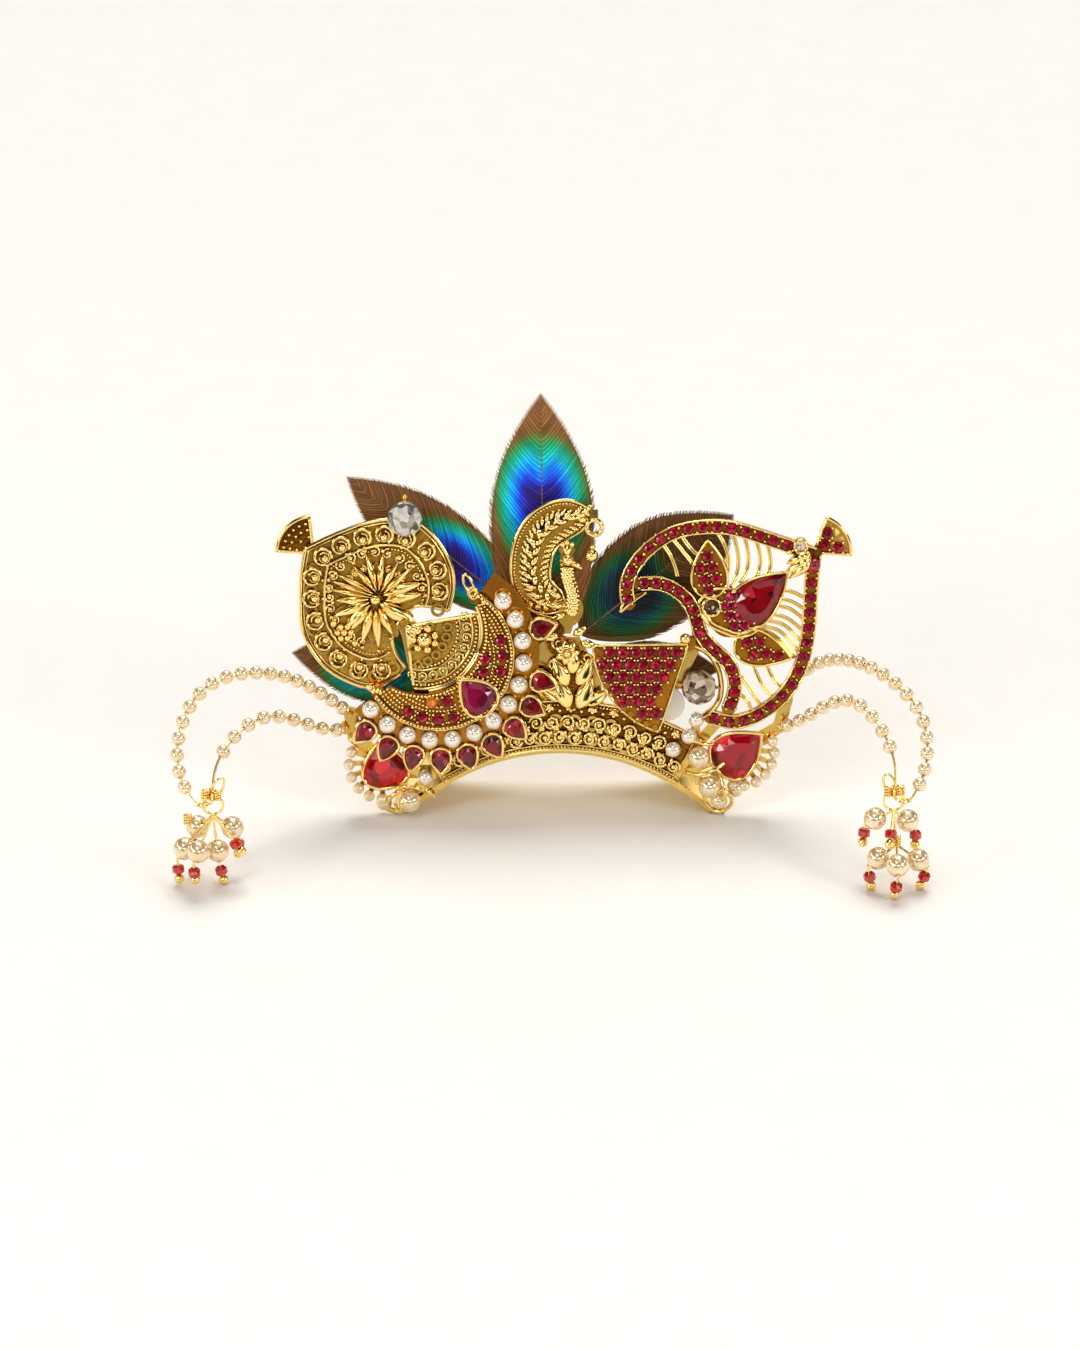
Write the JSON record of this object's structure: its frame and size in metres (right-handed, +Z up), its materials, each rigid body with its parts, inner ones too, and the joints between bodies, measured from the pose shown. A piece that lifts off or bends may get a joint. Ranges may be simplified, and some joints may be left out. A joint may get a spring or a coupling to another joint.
{
  "type": "mukut crown",
  "caption": "Gold deity crown with leaf plates, crescent, peacock, red stones, pearl strings, bead tassels and peacock feather vanes.",
  "frame": {"origin": "on the floor under the middle of the arch, at the band's front edge", "axes": "+X to the viewer's right along the band, +Y to the back, +Z up"},
  "size_m": [0.2107, 0.0842, 0.1168],
  "materials": {
    "gold": "satin",
    "ruby": "gloss",
    "large_ruby": "gloss",
    "white_stone": "gloss",
    "dark_stone": "gloss",
    "red_bead": "gloss",
    "pearl": "gloss",
    "white_pearl": "gloss",
    "crystal": "gloss",
    "feather": "matte"
  },
  "bodies": {
    "root": {"band_pearls": "pearl", "base_band": "gold", "bud_rubies": "ruby", "bud_stone": "large_ruby", "centre_leaves": "gold", "crescent_pearls": "white_pearl", "crescent_plate": "gold", "crescent_rubies": "ruby", "crescent_stone": "large_ruby", "disc_bead": "white_pearl", "drop_stones": "large_ruby", "eye_stone": "dark_stone", "feather_centre": "feather", "feather_left": "feather", "feather_low_left": "feather", "feather_low_right": "feather", "feather_right": "feather", "foot_pearls": "pearl", "frame_rubies": "ruby", "leaf_rubies": "ruby", "left_crystal": "crystal", "left_end_setting": "gold", "left_end_stone": "large_ruby", "left_inner_pearls": "pearl", "left_inner_wire": "gold", "left_leaf_plate": "gold", "left_outer_pearls": "pearl", "left_outer_wire": "gold", "left_rim_pearls": "pearl", "left_small_fan": "gold", "left_tail_fan": "gold", "left_tassel_pearls": "pearl", "left_tassel_pins": "gold", "left_tassel_red_beads": "red_bead", "peacock": "gold", "right_crystal": "crystal", "right_end_setting": "gold", "right_end_stone": "large_ruby", "right_inner_pearls": "pearl", "right_inner_wire": "gold", "right_leaf_frame": "gold", "right_outer_pearls": "pearl", "right_outer_wire": "gold", "right_rim_pearls": "pearl", "right_small_fan": "gold", "right_tail_fan": "gold", "right_tassel_pearls": "pearl", "right_tassel_pins": "gold", "right_tassel_red_beads": "red_bead", "small_fan_rubies": "ruby", "tail_fan_rubies": "ruby", "tail_ring": "gold", "tip_stone": "white_stone"}
  },
  "joints": []
}
